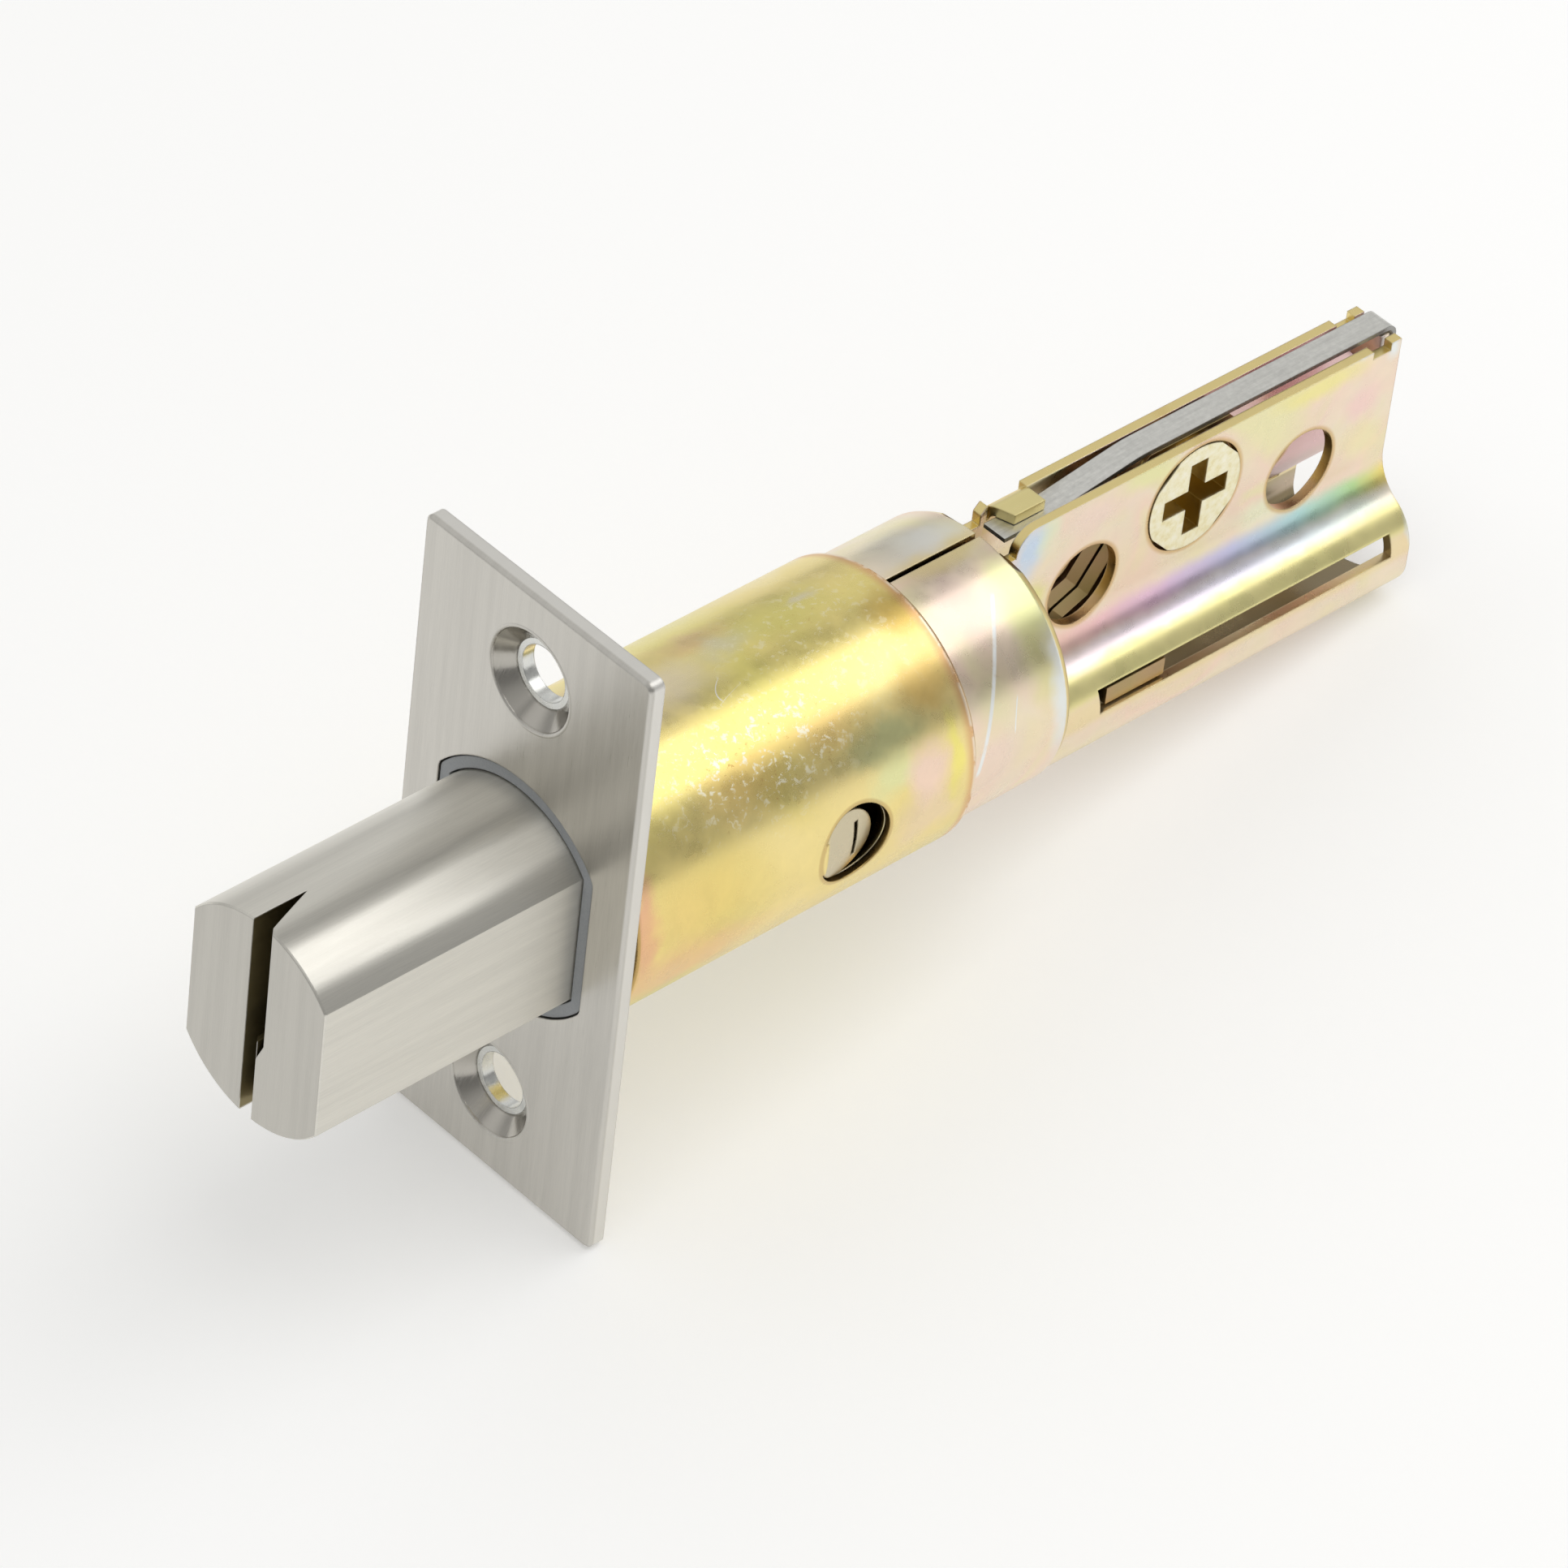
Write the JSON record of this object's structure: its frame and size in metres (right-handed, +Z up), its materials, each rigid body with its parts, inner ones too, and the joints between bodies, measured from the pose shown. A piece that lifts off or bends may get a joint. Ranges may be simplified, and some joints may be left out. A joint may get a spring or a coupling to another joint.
{
  "type": "tubular door latch",
  "caption": "Tubular door latch of the deadbolt type: a flatted bolt slides out of a round barrel through an edge plate, driven by a cross-socket hub and cranks in a folded case.",
  "frame": {"origin": "on the bolt's axis at the rear face of the backing plate, where the round barrel starts", "axes": "+X along the bolt, out of the door's edge; +Y across the edge plate, towards the side that the picture shows; +Z up the edge plate, towards the hub's side of the case"},
  "size_m": [0.1189, 0.0254, 0.0572],
  "materials": {
    "satin_nickel": "satin, brushed along the plate",
    "satin_nickel_bolt": "satin, brushed along the bolt",
    "bright_zinc": "bright zinc plate",
    "grey_plastic": "moulded",
    "barrel_gold": "yellow zinc plate, mottled",
    "case_gold": "yellow zinc plate, iridescent",
    "tail_gold": "yellow zinc plate",
    "crank_gold": "yellow zinc plate",
    "spring_steel": "matte strip",
    "hardened_steel": "ground",
    "cast_zinc": "plated casting"
  },
  "bodies": {
    "latch_body": {"face_plate": "satin_nickel", "backing_plate": "bright_zinc", "bolt_guide": "grey_plastic", "front_barrel": "barrel_gold", "latch_case": "case_gold", "leaf_spring": "spring_steel"},
    "bolt": {"dead_bolt": "satin_nickel_bolt", "hard_pin_near": "hardened_steel", "hard_pin_far": "hardened_steel", "bolt_tail": "tail_gold", "tail_pin": "hardened_steel", "drive_pin": "hardened_steel"},
    "hub": {"hub": "cast_zinc", "crank_plate_near": "crank_gold", "crank_plate_far": "crank_gold", "crank_rivet": "hardened_steel"}
  },
  "joints": [
    {"name": "bolt_slide", "type": "slide", "parent": "latch_body", "child": "bolt", "axis": [-1, 0, 0], "range_m": [0, 0.0254]},
    {"name": "hub_turn", "type": "hinge", "parent": "latch_body", "child": "hub", "pos_m": [-0.0674, 0, 0.0066], "axis": [0, 1, 0], "range_deg": [0, 90], "deforming": ["leaf_spring"]}
  ],
  "couplings": [
    {"joint": "hub_turn", "follows": "bolt_slide", "rad_per_m": 61.84}
  ]
}
